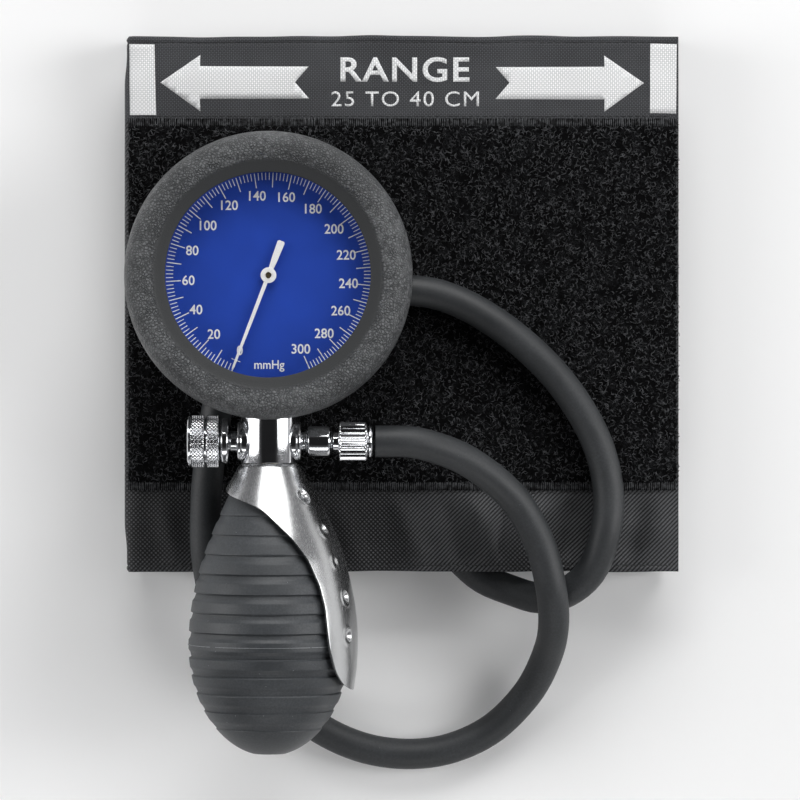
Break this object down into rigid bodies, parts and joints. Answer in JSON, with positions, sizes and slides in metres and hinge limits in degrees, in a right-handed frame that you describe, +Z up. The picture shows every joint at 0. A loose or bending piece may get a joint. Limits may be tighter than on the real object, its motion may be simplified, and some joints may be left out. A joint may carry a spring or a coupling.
{
  "type": "upper arm blood pressure monitor",
  "caption": "Palm aneroid blood pressure monitor: dial gauge in a rubber bumper, chromed valve body, squeeze bulb with finger spoon, and one hose to a folded arm cuff.",
  "frame": {"origin": "centre of the underside of the folded cuff, where it rests", "axes": "+Z up out of the cuff, +Y from the bulb towards the gauge, +X to the right of the dial"},
  "size_m": [0.1516, 0.2024, 0.0663],
  "materials": {
    "rubber_bumper": "dark grey moulded rubber with a coarse grain",
    "steel": "satin",
    "spoon_steel": "satin, pressed sheet",
    "lens_plastic": "clear, polished",
    "dial_blue": "matte blue with white scale",
    "pointer_white": "white enamel",
    "brass": "machined",
    "chrome": "polished plating",
    "seal_rubber": "smooth",
    "bulb_rubber": "matte blue-grey",
    "hose_rubber": "matte dark grey",
    "nylon": "charcoal oxford weave",
    "pile": "black fastener pile"
  },
  "bodies": {
    "root": {"bezel_ring": "steel", "bladder": "seal_rubber", "bulb": "bulb_rubber", "bulb_nipple": "brass", "bumper": "rubber_bumper", "capillary_tube": "brass", "capsule_lower": "brass", "cuff_inner_fabric": "nylon", "cuff_outer_fabric": "nylon", "cuff_port": "seal_rubber", "dial_plate": "dial_blue", "dial_spacer": "steel", "gauge_case": "steel", "gauge_inlet": "brass", "hairspring": "steel", "hook_patch": "pile", "hose": "hose_rubber", "hose_collar": "chrome", "hose_port": "chrome", "inlet_seal": "seal_rubber", "intake_filter": "steel", "intake_valve_body": "steel", "lens": "lens_plastic", "lens_seal": "seal_rubber", "loop_patch": "pile", "manifold": "chrome", "movement_base_plate": "brass", "movement_post_1": "brass", "movement_post_2": "brass", "movement_post_3": "brass", "movement_screw_1": "steel", "movement_screw_2": "steel", "movement_screw_3": "steel", "movement_top_plate": "brass", "plate_pillar_1": "brass", "plate_pillar_2": "brass", "plate_pillar_3": "brass", "plate_pillar_4": "brass", "rocker_bracket_1": "brass", "rocker_bracket_2": "brass", "spoon_nut": "steel", "valve_bush": "chrome", "valve_seat": "brass"},
    "sector": {"sector_gear": "brass"},
    "pointer_arbor": {"pinion": "brass", "pointer": "pointer_white"},
    "rocker": {"rocker_shaft": "steel"},
    "capsule_top": {"capsule_upper": "brass"},
    "valve_slider": {"valve_oring": "seal_rubber"},
    "release_knob": {"valve_knob": "chrome", "valve_spindle": "steel"},
    "union_nut": {"hose_nut": "chrome"},
    "finger_spoon": {"spoon": "spoon_steel"},
    "intake_ball": {"intake_valve_ball": "steel"},
    "outlet_disc": {"outlet_valve_disc": "seal_rubber"}
  },
  "joints": [
    {"name": "sector_swing", "type": "hinge", "parent": "root", "child": "sector", "pos_m": [-0.0148, 0.0069, 0.0446], "axis": [0, 0, 1], "range_deg": [0, 52.5], "stiffness_Nm_per_rad": 0.0001},
    {"name": "pointer_turn", "type": "hinge", "parent": "root", "child": "pointer_arbor", "pos_m": [-0.0358, 0.0069, 0.0446], "axis": [0, 0, -1], "range_deg": [0, 315.1]},
    {"name": "rocker_tilt", "type": "hinge", "parent": "root", "child": "rocker", "pos_m": [-0.0358, 0.0089, 0.0393], "axis": [-1, 0, 0], "range_deg": [0, 38]},
    {"name": "capsule_lift", "type": "slide", "parent": "root", "child": "capsule_top", "axis": [0, 0, 1], "range_m": [0, 0.0012]},
    {"name": "valve_travel", "type": "slide", "parent": "root", "child": "valve_slider", "axis": [-1, 0, 0], "range_m": [0, 0.0011]},
    {"name": "valve_turn", "type": "hinge", "parent": "valve_slider", "child": "release_knob", "pos_m": [-0.0358, -0.0375, 0.0446], "axis": [-1, 0, 0], "range_deg": [0, 540]},
    {"name": "nut_turn", "type": "hinge", "parent": "root", "child": "union_nut", "pos_m": [-0.0358, -0.0375, 0.0446], "axis": [1, 0, 0], "continuous": true},
    {"name": "spoon_swing", "type": "hinge", "parent": "root", "child": "finger_spoon", "pos_m": [-0.0358, -0.0437, 0.0446], "axis": [0, -1, 0], "range_deg": [0, 180]},
    {"name": "intake_lift", "type": "slide", "parent": "root", "child": "intake_ball", "axis": [0, 1, 0], "range_m": [0, 0.0008]},
    {"name": "outlet_lift", "type": "slide", "parent": "root", "child": "outlet_disc", "axis": [0, 1, 0], "range_m": [0, 0.0008]}
  ],
  "couplings": [
    {"joint": "pointer_turn", "follows": "sector_swing", "ratio": 6},
    {"joint": "rocker_tilt", "follows": "sector_swing", "ratio": 0.7238},
    {"joint": "capsule_lift", "follows": "sector_swing", "m_per_rad": 0.0013},
    {"joint": "valve_travel", "follows": "valve_turn", "m_per_rad": 0.000116}
  ]
}
